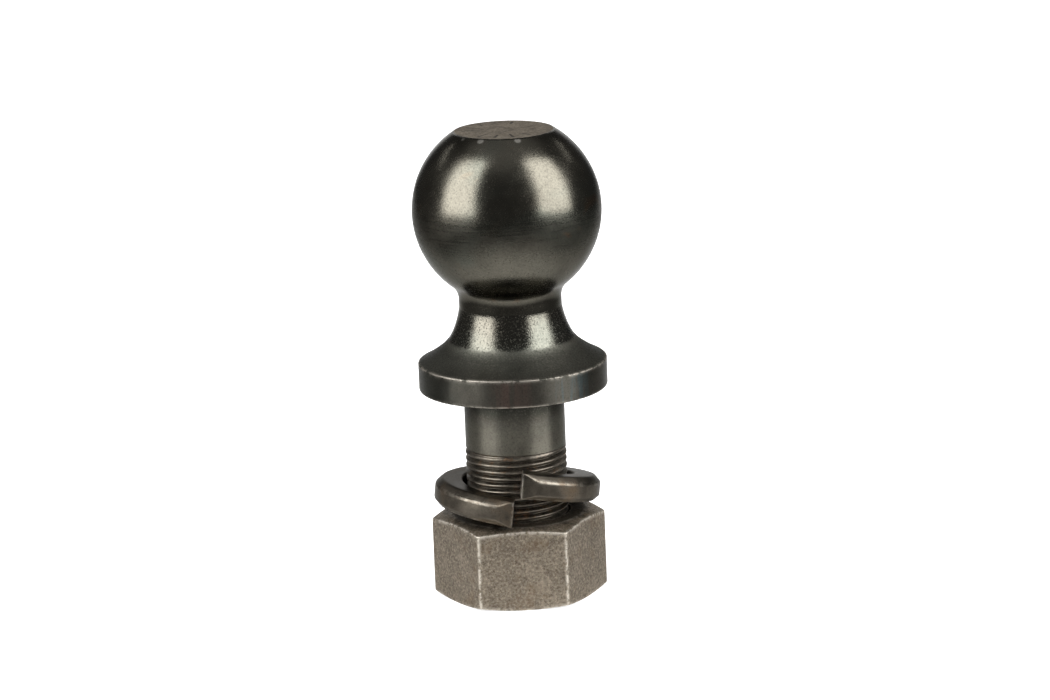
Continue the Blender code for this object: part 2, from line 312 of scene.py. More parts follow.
def ball_outline():
    """The ball with its flat top, neck, flare, flange and plain shank, down to the thread."""
    top_zone, body_zone, flare_zone, rim_zone, shank_zone = range(5)
    outline = Outline()
    flat_height = FLAT_TOP_Z - BALL_CENTRE_Z
    edge_round = FLAT_EDGE_ROUND
    edge_centre_radius = math.sqrt((BALL_RADIUS - edge_round) ** 2 - (flat_height - edge_round) ** 2)
    edge_centre = (edge_centre_radius, FLAT_TOP_Z - edge_round)
    edge_angle = math.atan2(flat_height - edge_round, edge_centre_radius)
    outline.add(0, FLAT_TOP_Z, top_zone)
    outline.line(edge_centre_radius, FLAT_TOP_Z, top_zone)
    outline.arc(edge_centre, edge_round, math.pi / 2, edge_angle, body_zone, 6)
    fillet_out = NECK_RADIUS + NECK_TO_BALL_FILLET
    centre_drop = math.sqrt((BALL_RADIUS + NECK_TO_BALL_FILLET) ** 2 - fillet_out**2)
    meeting_angle = -math.atan2(centre_drop, fillet_out)
    outline.arc((0, BALL_CENTRE_Z), BALL_RADIUS, edge_angle, meeting_angle, body_zone, 84)
    fillet_centre = (fillet_out, BALL_CENTRE_Z - centre_drop)
    outline.arc(fillet_centre, NECK_TO_BALL_FILLET, meeting_angle + math.pi, math.pi, body_zone, 14)
    # The neck stops a little short of the flare, which starts tilted
    outline.line(NECK_RADIUS, FLARE_TOP_Z + 0.15 * MM, body_zone, 0.3 * MM)
    tilt = FLARE_TILTS[0]
    edge = (NECK_RADIUS, FLARE_TOP_Z)
    for radius, next_tilt, count in zip(FLARE_RADII, FLARE_TILTS[1:], (12, 20)):
        centre = (edge[0] + radius * math.cos(tilt), edge[1] + radius * math.sin(tilt))
        outline.arc(centre, radius, math.pi + tilt, math.pi + next_tilt, flare_zone, count)
        edge = outline.points[-1][:2]
        tilt = next_tilt
    rim_top = UNDERSIDE_Z + FLANGE_RIM_HEIGHT
    shoulder = (FLANGE_RADIUS - FLANGE_SHOULDER_IN, rim_top + FLANGE_SHOULDER_UP)
    lower = rounded_outline(
        [
            (*edge, 0, flare_zone, 0),
            (*shoulder, FLANGE_SHOULDER_ROUND, flare_zone, 0),
            (FLANGE_RADIUS, rim_top, FLANGE_TOP_EDGE_ROUND, rim_zone, 0.8),
            (FLANGE_RADIUS, UNDERSIDE_Z, FLANGE_BOTTOM_EDGE_ROUND, shank_zone, 0.8),
            (SHANK_RADIUS, UNDERSIDE_Z, SHANK_CORNER_FILLET, shank_zone, 0),
            (SHANK_RADIUS, THREAD_TOP_Z, 0, shank_zone, 0),
        ]
    )
    outline.points += lower.points[1:]
    flat_edge = (BALL_RADIUS * math.cos(edge_angle), BALL_CENTRE_Z + BALL_RADIUS * math.sin(edge_angle))
    outline.wear(*flat_edge, 0.35, FLAT_WEAR_WIDTH)
    return outline


def forged_top(radius, height, angle):
    """Shallow unevenness of the as-forged flat, which the turned sphere doesn't have."""
    if height < FLAT_TOP_Z - 0.05 * MM:
        return radius, height
    spot = Vector((radius * math.cos(angle), radius * math.sin(angle), 0))
    dip = 0.5 + 0.5 * noise.noise(spot * 260) + 0.35 * noise.noise(spot * 900)
    return radius, height - FORGED_DIP * max(0, dip)


def shank_limit(radius, height):
    """Runs the grooves out on a cone under the plain shank, and cuts the end chamfer."""
    relief = SHANK_RADIUS - ROOT_RADIUS
    below_top = THREAD_TOP_Z - height
    run_out = SHANK_RADIUS - below_top
    crest = CREST_RADIUS - (CREST_RADIUS - SHANK_RADIUS) * min(max(1.6 - below_top / relief, 0), 1)
    chamfered = CREST_RADIUS - END_CHAMFER + (height - SHANK_END_Z)
    return min(max(min(radius, crest), run_out), chamfered)


def end_cap(zone):
    """The shank's end face, slightly dished by the saw."""
    cap = Outline()
    cap.add(CREST_RADIUS - END_CHAMFER, SHANK_END_Z, zone)
    cap.line(0, SHANK_END_Z + END_DISH, zone, 2 * MM)
    return turned_part(cap, round_angles(THREAD_COLUMNS))


def make_hitch_ball(materials):
    thread_zone = 5
    body = turned_part(ball_outline(), round_angles(BALL_COLUMNS), forged_top)
    thread = thread_part(SHANK_END_Z, THREAD_TOP_Z, CREST_RADIUS, ROOT_RADIUS, shank_limit, thread_zone)
    parts = join_parts([body, thread, end_cap(thread_zone)])
    return new_piece("hitch_ball_surface", *parts, materials)


def angle_from_corner(angle):
    """Signed angle to the nut's nearest corner."""
    return (angle - NUT_CORNER_ANGLE + SIXTH_TURN / 2) % SIXTH_TURN - SIXTH_TURN / 2


def hexagon_radius(angle):
    """Distance to the nut's side at an angle, with rounded corners."""
    from_corner = angle_from_corner(angle)
    corner_centre = (NUT_APOTHEM - NUT_CORNER_ROUND) / math.cos(SIXTH_TURN / 2)
    round_end = math.atan2(
        NUT_CORNER_ROUND * math.sin(SIXTH_TURN / 2),
        corner_centre + NUT_CORNER_ROUND * math.cos(SIXTH_TURN / 2),
    )
    if abs(from_corner) < round_end:
        reach = corner_centre * math.sin(from_corner)
        return corner_centre * math.cos(from_corner) + math.sqrt(NUT_CORNER_ROUND**2 - reach**2)
    return NUT_APOTHEM / math.cos(SIXTH_TURN / 2 - abs(from_corner))


def nut_angles():
    """Angles round the nut, closer together at its corners."""
    angles = []
    for side in range(6):
        for step in range(NUT_STEPS_PER_SIDE):
            share = (1 - math.cos(math.pi * step / NUT_STEPS_PER_SIDE)) / 2
            angles.append(NUT_CORNER_ANGLE + SIXTH_TURN * (side + share))
    return angles


def nut_side_outline(angle):
    """The nut's cross-section at an angle, from the lip of one countersink round to the other's.

    The bore's sleeve carries on down each countersink from there, so that its groove stays open.
    """
    side = hexagon_radius(angle)
    sink = NUT_SINK_RADIUS
    corner_depth = (side - NUT_FACE_RADIUS) * NUT_CHAMFER_SLOPE
    bottom_depth = (side - NUT_BOTTOM_FACE_RADIUS) * NUT_CHAMFER_SLOPE
    lip_depth = (sink - NUT_BORE_ROOT) * NUT_SINK_SLOPE
    return rounded_outline(
        [
            (NUT_BORE_ROOT, NUT_TOP_Z - lip_depth, 0, 1, 0),
            (sink, NUT_TOP_Z, 0.15 * MM, 1, 0.4),
            (NUT_FACE_RADIUS, NUT_TOP_Z, 0.5 * MM, 1, 0.3),
            (side, NUT_TOP_Z - corner_depth, 0.35 * MM, 0, 1),
            (side, bottom_depth, 0.3 * MM, 0, 0.7),
            (NUT_BOTTOM_FACE_RADIUS, 0, 0.02 * MM, 0, 0.1),
            (sink, 0, 0.15 * MM, 0, 0.3),
            (NUT_BORE_ROOT, lip_depth, 0, 0, 0),
        ],
        fillet_steps=5,
        line_steps=16,
    )


def nut_body():
    """The nut's outside: a grid whose columns each have their own cross-section."""
    angles = nut_angles()
    columns = [nut_side_outline(angle).points for angle in angles]
    vertices, wear, zones = [], [], []
    for row in range(len(columns[0])):
        for angle, column in zip(angles, columns):
            radius, height, _, edge = column[row]
            vertices.append((radius * math.cos(angle), radius * math.sin(angle), height))
            from_corner = abs(angle_from_corner(angle)) * NUT_APOTHEM
            on_side = radius > hexagon_radius(angle) - NUT_SIDE_DEPTH
            upright = math.exp(-((from_corner / CORNER_WEAR_WIDTH) ** 2)) if on_side else 0
            wear.append(max(edge, upright))
    for row in range(1, len(columns[0])):
        zones += [int(columns[0][row][2])] * len(angles)
    return vertices, grid_faces(len(columns[0]), len(angles)), zones, wear


def nut_limit(radius, height):
    """Opens the nut's thread into its two countersinks."""
    depth = min(height, NUT_TOP_Z - height)
    return max(radius, NUT_SINK_RADIUS - depth / NUT_SINK_SLOPE)


def make_hex_nut(materials):
    body = nut_body()
    thread_zone = 2
    low = NUT_BORE_MARGIN
    high = NUT_TOP_Z - NUT_BORE_MARGIN
    bore = thread_part(low, high, NUT_BORE_ROOT, NUT_BORE_CREST, nut_limit, thread_zone, inward=True)
    return new_piece("hex_nut_surface", *join_parts([body, bore]), materials)


def washer_section(from_end):
    """The spring wire's section as (radius, height, rounding, wear); its bevels close towards its ends."""
    near = min(from_end / WASHER_BEVEL_RUN_OUT, 1)
    open_share = 0.15 + 0.85 * near * near * (3 - 2 * near)
    top_bevel = WASHER_TOP_BEVEL * open_share
    bottom_bevel = WASHER_BOTTOM_BEVEL * open_share
    inner, outer = WASHER_INNER_RADIUS, WASHER_OUTER_RADIUS
    top, bottom = WASHER_THICKNESS / 2, -WASHER_THICKNESS / 2
    return [
        (inner, top, 0.8 * MM, 0.2),
        (outer - top_bevel, top, 1.6 * MM * open_share, 0.0),
        (outer, top - top_bevel, 1.4 * MM * open_share, 0.25),
        (outer, bottom + bottom_bevel, 0.9 * MM * open_share, 0.0),
        (outer - bottom_bevel, bottom, 0.4 * MM * open_share, 0.4),
        (inner, bottom, 0.8 * MM, 0.0),
    ]


def closed_rounded_loop(corners, fillet_steps=5):
    """Points (radius, height, wear) round a closed section with rounded corners."""
    loop = []
    for index, corner in enumerate(corners):
        here = Vector(corner[:2])
        before = Vector(corners[index - 1][:2])
        after = Vector(corners[(index + 1) % len(corners)][:2])
        back = (before - here).normalized()
        ahead = (after - here).normalized()
        half = back.angle(ahead) / 2
        reach = min(corner[2] / math.tan(half), (before - here).length * 0.45, (after - here).length * 0.45)
        radius = reach * math.tan(half)
        centre = here + (back + ahead).normalized() * (radius / math.sin(half))
        start = here + back * reach - centre
        side = 1 if back.x * ahead.y - back.y * ahead.x < 0 else -1
        for step in range(fillet_steps + 1):
            spoke = Matrix.Rotation(side * (math.pi - 2 * half) * step / fillet_steps, 2) @ start
            loop.append((*(centre + spoke), corner[3]))
        run_start = Vector(loop[-1][:2])
        next_reach = min(2 * MM, (after - here).length * 0.45)
        run_end = after - ahead * next_reach
        for share in (0.12, 0.35, 0.65, 0.88):
            spot = run_start.lerp(run_end, share)
            loop.append((*spot, 0))
    return loop


def washer_lean():
    level_line = (-math.sin(WASHER_LOW_SIDE_ANGLE), math.cos(WASHER_LOW_SIDE_ANGLE), 0)
    return Matrix.Translation(WASHER_PLACE) @ Matrix.Rotation(WASHER_TILT, 4, level_line)


def make_lock_washer(materials):
    """The section carried round on a left-hand helix, its two ends sheared and burred."""
    end_lengths = [0, 0.1, 0.2, 0.35, 0.6, 1.0, 1.6, 2.4]
    arc_length = WASHER_SWEEP * (WASHER_INNER_RADIUS + WASHER_OUTER_RADIUS) / 2
    shares = sorted(
        {index / WASHER_STEPS for index in range(WASHER_STEPS + 1)}
        | {length * MM / arc_length for length in end_lengths}
        | {1 - length * MM / arc_length for length in end_lengths}
    )
    vertices, wear = [], []
    for share in shares:
        angle = WASHER_UPPER_END_ANGLE + WASHER_SWEEP * share
        middle = -WASHER_RISE * share
        from_end = min(share, 1 - share) * arc_length
        burr = math.exp(-((from_end / BURR_WIDTH) ** 2))
        pinch = WASHER_PINCH * max(0, 1 - share * arc_length / WASHER_PINCH_LENGTH)
        loop = closed_rounded_loop(washer_section(from_end))
        for radius, height, edge in loop:
            outward = (radius - WASHER_INNER_RADIUS) / (WASHER_OUTER_RADIUS - WASHER_INNER_RADIUS)
            r = radius - pinch * outward
            vertices.append((r * math.cos(angle), r * math.sin(angle), middle + height))
            wear.append(max(edge, burr))
    rows = len(shares)
    count = len(loop)
    faces = grid_faces(rows, count)
    zones = [0] * len(faces)
    first_end = tuple(range(count))
    last_end = tuple((rows - 1) * count + index for index in reversed(range(count)))
    faces += [first_end, last_end]
    zones += [1, 1]
    piece = new_piece("lock_washer_surface", vertices, faces, zones, wear, materials)
    piece.data.transform(washer_lean())
    for polygon in piece.data.polygons:
        polygon.use_smooth = polygon.material_index == 0
    return piece


# ---------------------------------------------------------------- materials


class Nodes:
    """Short calls for a material's node tree. Every value may be a number or another node's output."""

    def __init__(self, name):
        self.material = bpy.data.materials.new(name)
        self.material.use_nodes = True
        self.tree = self.material.node_tree
        self.shader = self.tree.nodes["Principled BSDF"]
        self.place = self.tree.nodes.new("ShaderNodeTexCoord").outputs["Object"]

    def put(self, socket, value):
        if isinstance(value, bpy.types.NodeSocket):
            self.tree.links.new(value, socket)
        else:
            socket.default_value = value

    def math(self, operation, first, second=0.0, third=0.0):
        node = self.tree.nodes.new("ShaderNodeMath")
        node.operation = operation
        for socket, value in zip(node.inputs, (first, second, third)):
            self.put(socket, value)
        return node.outputs[0]

    def stretched(self, x, y, z):
        """Object coordinates with each axis scaled: a low scale draws the pattern out along it."""
        node = self.tree.nodes.new("ShaderNodeVectorMath")
        node.operation = "MULTIPLY"
        self.put(node.inputs[0], self.place)
        node.inputs[1].default_value = (x, y, z)
        return node.outputs[0]

    def noise(self, scale, detail=4.0, roughness=0.55, where=None, distortion=0.0):
        node = self.tree.nodes.new("ShaderNodeTexNoise")
        self.put(node.inputs["Vector"], where or self.place)
        node.inputs["Scale"].default_value = scale
        node.inputs["Detail"].default_value = detail
        node.inputs["Roughness"].default_value = roughness
        node.inputs["Distortion"].default_value = distortion
        return node.outputs["Fac"]

    def spread(self, value, low, high, to_low=0.0, to_high=1.0):
        """A value's range mapped smoothly to another."""
        node = self.tree.nodes.new("ShaderNodeMapRange")
        node.interpolation_type = "SMOOTHSTEP"
        for socket, number in zip(node.inputs, (value, low, high, to_low, to_high)):
            self.put(socket, number)
        return node.outputs[0]

    def blend(self, share, first, second):
        node = self.tree.nodes.new("ShaderNodeMix")
        node.data_type = "RGBA"
        self.put(node.inputs["Factor"], share)
        for socket, colour in ((node.inputs["A"], first), (node.inputs["B"], second)):
            self.put(socket, (*colour, 1) if isinstance(colour, tuple) else colour)
        return node.outputs["Result"]

    def length(self, x, y):
        squares = [self.math("MULTIPLY", side, side) for side in (x, y)]
        return self.math("SQRT", self.math("ADD", *squares))

    def near(self, point, radius):
        """One at a point, fading to nothing at a radius from it."""
        node = self.tree.nodes.new("ShaderNodeVectorMath")
        node.operation = "DISTANCE"
        self.put(node.inputs[0], self.place)
        node.inputs[1].default_value = point
        return self.spread(node.outputs["Value"], radius, radius * 0.5)

    def attribute(self, name):
        node = self.tree.nodes.new("ShaderNodeAttribute")
        node.attribute_name = name
        return node.outputs["Fac"]

    def separate(self):
        node = self.tree.nodes.new("ShaderNodeSeparateXYZ")
        self.put(node.inputs[0], self.place)
        return node.outputs

    def bump(self, height, distance, strength=1.0, under=None):
        node = self.tree.nodes.new("ShaderNodeBump")
        node.inputs["Strength"].default_value = strength
        node.inputs["Distance"].default_value = distance
        self.put(node.inputs["Height"], height)
        if under:
            self.put(node.inputs["Normal"], under)
        return node.outputs["Normal"]

    def finish(self, colour, roughness, metallic, normal, edge_tint=0.6):
        self.put(self.shader.inputs["Base Color"], colour)
        self.put(self.shader.inputs["Roughness"], roughness)
        self.put(self.shader.inputs["Metallic"], metallic)
        self.put(self.shader.inputs["Normal"], normal)
        self.shader.inputs["Specular Tint"].default_value = (edge_tint, edge_tint, edge_tint, 1)
        return self.material


def scaled(colour, factor):
    return tuple(part * factor for part in colour)


def black_oxide(name, roughness, streaks, tint, brown_share, grain_depth, speck_roughness, patches=None):
    """Black oxide over machined steel: mottled, finely pitted, with tool marks and bright worn edges.

    roughness is a number, or a function of the nodes; patches may recolour it before the specks go on.
    """
    nodes = Nodes(name)
    mottle = nodes.noise(70, 6.0, 0.62)
    cloud = nodes.noise(28, 3.0, 0.5, distortion=0.6)
    grain = nodes.noise(2900, 1.0, 0.5)
    speckle = nodes.noise(1700, 3.0, 0.75)
    marks = nodes.noise(1.0, 3.0, 0.7, where=nodes.stretched(*streaks))
    colour = nodes.blend(nodes.spread(mottle, 0.32, 0.7), scaled(tint, 0.84), scaled(tint, 1.16))
    green = (tint[0] * 0.84, tint[1] * 0.97, tint[2] * 1.0)
    colour = nodes.blend(nodes.spread(cloud, 0.46, 0.62, 0, 0.6), colour, green)
    brown = (tint[0] * 1.4, tint[1] * 1.05, tint[2] * 0.85)
    brown_cloud = nodes.noise(46, 5.0, 0.65, distortion=0.9)
    brown_spots = nodes.spread(brown_cloud, 0.68 - brown_share, 0.8 - brown_share)
    colour = nodes.blend(nodes.math("MULTIPLY", brown_spots, 0.75), colour, brown)
    if patches:
        colour = patches(nodes, colour)
    colour = nodes.blend(nodes.spread(speckle, 0.5, 0.72, 0, 0.6), colour, scaled(tint, 0.45))
    colour = nodes.blend(nodes.spread(speckle, 0.5, 0.28, 0, 0.4), colour, scaled(tint, 1.5))
    wear_noise = nodes.noise(420, 4.0, 0.7)
    worn = nodes.math("MULTIPLY", nodes.attribute("edge_wear"), nodes.spread(wear_noise, 0.38, 0.58))
    colour = nodes.blend(worn, colour, (0.5, 0.46, 0.4))
    base_roughness = roughness(nodes) if callable(roughness) else roughness
    rough = nodes.math("MULTIPLY", base_roughness, nodes.spread(mottle, 0.3, 0.72, 0.84, 1.2))
    rough = nodes.math("ADD", rough, nodes.spread(speckle, 0.5, 0.7, 0, speck_roughness))
    normal = nodes.bump(marks, 0.012 * MM, 0.6)
    normal = nodes.bump(speckle, grain_depth, 0.6, normal)
    normal = nodes.bump(grain, grain_depth, 0.5, normal)
    return nodes.finish(colour, rough, 1.0, normal)


def scuffed_band(nodes):
    """Roughness of the ball: duller in a scratched band round its widest line."""
    _, _, z = nodes.separate()
    distance = nodes.math("ABSOLUTE", nodes.math("SUBTRACT", z, BALL_CENTRE_Z - 4 * MM))
    scratches = nodes.noise(1.0, 4.0, 0.7, where=nodes.stretched(60, 60, 1500))
    scratched = nodes.spread(scratches, 0.3, 0.62, 0.3, 1)
    band = nodes.math("MULTIPLY", nodes.spread(distance, 10 * MM, 1 * MM), scratched)
    return nodes.math("MULTIPLY_ADD", band, 0.16, 0.19)


def turned_round(material):
    """Makes a finish draw its reflections out along Z, as fine turning marks round a shank do."""
    tree = material.node_tree
    shader = tree.nodes["Principled BSDF"]
    shader.inputs["Anisotropic"].default_value = 0.75
    shader.inputs["Anisotropic Rotation"].default_value = 0.25
    around = tree.nodes.new("ShaderNodeTangent")
    around.direction_type = "RADIAL"
    around.axis = "Z"
    tree.links.new(around.outputs["Tangent"], shader.inputs["Tangent"])
    return material


def rim_nicks(nodes, colour):
    """Small bare nicks on the ball, right under the front edge of its flat."""
    edge_z = FLAT_TOP_Z - 0.6 * MM
    edge_radius = math.sqrt(BALL_RADIUS**2 - (edge_z - BALL_CENTRE_Z) ** 2)
    for degrees_right, size in ((-50, 0.8 * MM), (-26, 1.3 * MM), (14.6, 1.3 * MM)):
        angle = math.radians(degrees_right)
        spot = (edge_radius * math.sin(angle), -edge_radius * math.cos(angle), edge_z)
        colour = nodes.blend(nodes.math("MULTIPLY", nodes.near(spot, size), 0.7), colour, (0.8, 0.77, 0.7))
    return colour


def below(nodes, height, depth, share):
    """A share that grows from nothing at a height to all of it at a depth below."""
    _, _, z = nodes.separate()
    return nodes.spread(z, height, height - depth, 0, share)


def dull_flange(nodes, colour):
    """Darker colour on the flange's matt sloping top."""
    return nodes.blend(below(nodes, FLARE_MATT_BELOW_Z + 0.6 * MM, 3 * MM, 0.8), colour, (0.05, 0.05, 0.042))


def painted_shade_under_flange(nodes, colour):
    """Painted shade in the corner under the flange, fading out down the shank."""
    out_of_shade = below(nodes, UNDERSIDE_Z - 2.5 * MM, 9 * MM, 1)
    # Painted shade: strongest within 2.5 mm under the flange, gone 9 mm below that.
    return nodes.blend(nodes.math("MULTIPLY_ADD", out_of_shade, -0.9, 0.9), colour, (0.03, 0.031, 0.027))


def flare_finish(nodes):
    """Roughness of the flare: polished under the neck, matt on the flange's sloping top."""
    _, _, z = nodes.separate()
    return nodes.spread(z, FLARE_MATT_BELOW_Z + 0.5 * MM, FLARE_MATT_BELOW_Z - 1.1 * MM, 0.13, 0.46)


def heat_patches(nodes, colour):
    """A reddish patch on the front of the rim and bluish upright streaks to its right."""
    x, y, _ = nodes.separate()
    turn = nodes.math("ARCTAN2", x, nodes.math("MULTIPLY", y, -1))
    streak = nodes.noise(1.0, 3.0, 0.7, where=nodes.stretched(420, 420, 30))
    red = nodes.spread(nodes.math("ABSOLUTE", nodes.math("ADD", turn, 0.02)), 0.28, 0.04)
    blue = nodes.spread(nodes.math("ABSOLUTE", nodes.math("SUBTRACT", turn, 0.7)), 0.34, 0.1)
    red = nodes.math("MULTIPLY", red, nodes.spread(streak, 0.34, 0.58, 0.15, 0.85))
    blue = nodes.math("MULTIPLY", blue, nodes.spread(streak, 0.46, 0.6, 0, 0.8))
    colour = nodes.blend(red, colour, (0.16, 0.112, 0.094))
    return nodes.blend(blue, colour, (0.092, 0.12, 0.124))


def forged_flat():
    """The as-forged flat: matt brown-grey scale with a ring of shallow plain ticks."""
    nodes = Nodes("forged_flat_scale")
    blotch = nodes.noise(190, 6.0, 0.68)
    grain = nodes.noise(1300, 3.0, 0.7)
    colour = nodes.blend(nodes.spread(blotch, 0.3, 0.7), (0.15, 0.125, 0.095), (0.3, 0.255, 0.195))
    colour = nodes.blend(nodes.spread(grain, 0.35, 0.7, 0, 0.5), colour, (0.05, 0.044, 0.036))
    x, y, _ = nodes.separate()
    ring = nodes.length(x, y)
    turn = nodes.math("ARCTAN2", y, x)
    tick_shape = nodes.math("ABSOLUTE", nodes.math("SINE", nodes.math("MULTIPLY", turn, 7)))
    ticks = nodes.spread(tick_shape, 0.3, 0.2)
    inner_end = nodes.spread(ring, 7.8 * MM, 8.2 * MM)
    outer_end = nodes.spread(ring, 13.2 * MM, 12.8 * MM)
    band = nodes.math("MULTIPLY", inner_end, outer_end)
    some = nodes.spread(nodes.noise(150, 0.0), 0.42, 0.46)
    ticks = nodes.math("MULTIPLY", nodes.math("MULTIPLY", ticks, band), some)
    colour = nodes.blend(nodes.math("MULTIPLY", ticks, 0.8), colour, (0.02, 0.018, 0.015))
    worn = nodes.math("MULTIPLY", nodes.attribute("edge_wear"), nodes.spread(blotch, 0.4, 0.6))
    colour = nodes.blend(worn, colour, (0.4, 0.37, 0.32))
    normal = nodes.bump(blotch, 0.12 * MM, 0.7)
    normal = nodes.bump(grain, 0.05 * MM, 0.7, normal)
    normal = nodes.bump(ticks, -0.25 * MM, 1.0, normal)
    return nodes.finish(colour, nodes.spread(grain, 0.3, 0.7, 0.5, 0.68), 0.75, normal)


def thread_steel():
    """Threads: dark, oily roots with copper and rust tints, and rubbed crests."""
    nodes = Nodes("thread_dark_steel")
    wear = nodes.attribute("edge_wear")
    blotch = nodes.noise(160, 5.0, 0.65)
    grain = nodes.noise(1500, 3.0, 0.65)
    colour = nodes.blend(nodes.spread(blotch, 0.35, 0.68), (0.16, 0.143, 0.118), (0.27, 0.24, 0.195))
    rust = nodes.spread(nodes.noise(240, 4.0, 0.6, where=nodes.stretched(1, 1, 2)), 0.55, 0.68, 0, 0.7)
    colour = nodes.blend(rust, colour, (0.33, 0.21, 0.13))
    colour = nodes.blend(nodes.spread(grain, 0.3, 0.75, 0, 0.5), colour, (0.035, 0.03, 0.026))
    worn = nodes.math("MULTIPLY", wear, nodes.spread(nodes.noise(170, 4.0, 0.7), 0.46, 0.68, 0, 0.7))
    colour = nodes.blend(worn, colour, (0.3, 0.275, 0.235))
    normal = nodes.bump(nodes.noise(420, 4.0, 0.6), 0.12 * MM, 0.7)
    normal = nodes.bump(grain, 0.03 * MM, 0.5, normal)
    return nodes.finish(colour, nodes.spread(blotch, 0.3, 0.7, 0.28, 0.46), 0.95, normal)


def tumbled_steel(name, low, high, soot_and_shade_reach):
    """Bare nut steel, tumbled: salt-and-pepper all over, sooty round the bore with painted shade there under
    the washer, with chipped bright edges.
    """
    nodes = Nodes(name)
    blotch = nodes.noise(110, 5.0, 0.66)
    grit = nodes.noise(1250, 3.0, 0.8)
    fine = nodes.noise(2600, 2.0, 0.6)
    colour = nodes.blend(nodes.spread(blotch, 0.28, 0.72), low, high)
    colour = nodes.blend(nodes.spread(grit, 0.5, 0.66, 0, 0.8), colour, scaled(low, 0.5))
    colour = nodes.blend(nodes.spread(grit, 0.48, 0.34, 0, 0.7), colour, scaled(high, 1.6))
    brown = nodes.spread(nodes.noise(150, 4.0, 0.6), 0.52, 0.68, 0, 0.45)
    colour = nodes.blend(brown, colour, (low[0] * 0.95, low[1] * 0.8, low[2] * 0.66))
    x, y, _ = nodes.separate()
    ring = nodes.length(x, y)
    shift = nodes.math("SUBTRACT", nodes.noise(260, 4.0, 0.65), 0.5)
    ragged = nodes.math("MULTIPLY_ADD", shift, 8 * MM, ring)
    # Soot and painted shade round the bore, where the washer sits over the nut's top face.
    soot_and_shade = nodes.spread(ragged, soot_and_shade_reach, soot_and_shade_reach - 4 * MM, 0, 0.85)
    colour = nodes.blend(soot_and_shade, colour, (0.045, 0.037, 0.026))
    rubbed = nodes.spread(nodes.noise(520, 5.0, 0.8), 0.4, 0.56)
    worn = nodes.math("MULTIPLY", nodes.attribute("edge_wear"), rubbed)
    colour = nodes.blend(worn, colour, (0.66, 0.61, 0.53))
    rough = nodes.spread(grit, 0.3, 0.7, 0.4, 0.6)
    normal = nodes.bump(nodes.noise(60, 2.0), 0.4 * MM, 0.3)
    normal = nodes.bump(blotch, 0.12 * MM, 0.5, normal)
    normal = nodes.bump(grit, 0.09 * MM, 0.8, normal)
    normal = nodes.bump(fine, 0.02 * MM, 0.5, normal)
    return nodes.finish(colour, rough, 0.8, normal, 0.9)


def spring_steel(name, tint, rough_low, rough_high):
    """Tempered spring wire: dark and smooth, with brown clouds, rubbed corners and burred ends."""
    nodes = Nodes(name)
    blotch = nodes.noise(120, 5.0, 0.62)
    grain = nodes.noise(1900, 3.0, 0.7)
    brown = (tint[0] * 1.35, tint[1] * 1.08, tint[2] * 0.85)
    colour = nodes.blend(nodes.spread(blotch, 0.32, 0.7), scaled(tint, 0.75), scaled(tint, 1.3))
    colour = nodes.blend(nodes.spread(nodes.noise(60, 4.0, 0.6), 0.5, 0.68, 0, 0.7), colour, brown)
    colour = nodes.blend(nodes.spread(grain, 0.48, 0.74, 0, 0.65), colour, scaled(tint, 0.45))
    rubbed = nodes.spread(nodes.noise(420, 5.0, 0.75), 0.42, 0.6)
    worn = nodes.math("MULTIPLY", nodes.attribute("edge_wear"), rubbed)
    colour = nodes.blend(worn, colour, (0.52, 0.48, 0.41))
    rough = nodes.spread(blotch, 0.3, 0.7, rough_low, rough_high)
    rough = nodes.math("ADD", rough, nodes.math("MULTIPLY", nodes.math("SUBTRACT", grain, 0.5), 0.2))
    normal = nodes.bump(nodes.noise(90, 2.0), 0.2 * MM, 0.3)
    normal = nodes.bump(blotch, 0.05 * MM, 0.4, normal)
    normal = nodes.bump(grain, 0.03 * MM, 0.5, normal)
    return nodes.finish(colour, rough, 1.0, normal)


def ball_materials():
    """One material for each zone of the ball's outline, and the thread's."""
    tool_marks = (30, 30, 5200)
    upright_marks = (1100, 1100, 40)
    ball_oxide = black_oxide(
        "ball_black_oxide",
        roughness=scuffed_band,
        streaks=tool_marks,
        tint=(0.122, 0.114, 0.093),
        brown_share=0.07,
        grain_depth=0.03 * MM,
        speck_roughness=0.11,
        patches=rim_nicks,
    )
    flare_oxide = black_oxide(
        "flare_black_oxide",
        roughness=flare_finish,
        streaks=tool_marks,
        tint=(0.142, 0.133, 0.11),
        brown_share=0.03,
        grain_depth=0.06 * MM,
        speck_roughness=0.42,
        patches=dull_flange,
    )
    rim_oxide = black_oxide(
        "rim_black_oxide",
        roughness=0.33,
        streaks=upright_marks,
        tint=(0.1, 0.093, 0.078),
        brown_share=0.05,
        grain_depth=0.03 * MM,
        speck_roughness=0.12,
        patches=heat_patches,
    )
    shank_oxide = black_oxide(
        "shank_black_oxide",
        roughness=0.36,
        streaks=tool_marks,
        tint=(0.168, 0.158, 0.13),
        brown_share=0.04,
        grain_depth=0.03 * MM,
        speck_roughness=0.12,
        patches=painted_shade_under_flange,
    )
    rim_and_shank = [turned_round(rim_oxide), turned_round(shank_oxide)]
    return [forged_flat(), ball_oxide, flare_oxide, *rim_and_shank, thread_steel()]


def nut_materials():
    """The nut's sides, its top face and its thread."""
    sides = tumbled_steel(
        "nut_sides_tumbled", low=(0.175, 0.145, 0.11), high=(0.26, 0.22, 0.17), soot_and_shade_reach=0
    )
    face = tumbled_steel(
        "nut_face_tumbled", low=(0.2, 0.165, 0.12), high=(0.3, 0.25, 0.19), soot_and_shade_reach=24.5 * MM
    )
    return [sides, face, thread_steel()]


def washer_materials():
    """The washer's drawn wire, and its two sheared ends."""
    wire = spring_steel(
        "washer_spring_steel", tint=(0.126, 0.11, 0.088), rough_low=0.3, rough_high=0.42
    )
    ends = spring_steel(
        "washer_sheared_end", tint=(0.14, 0.12, 0.095), rough_low=0.36, rough_high=0.5
    )
    return [wire, ends]


# ---------------------------------------------------------------- studio


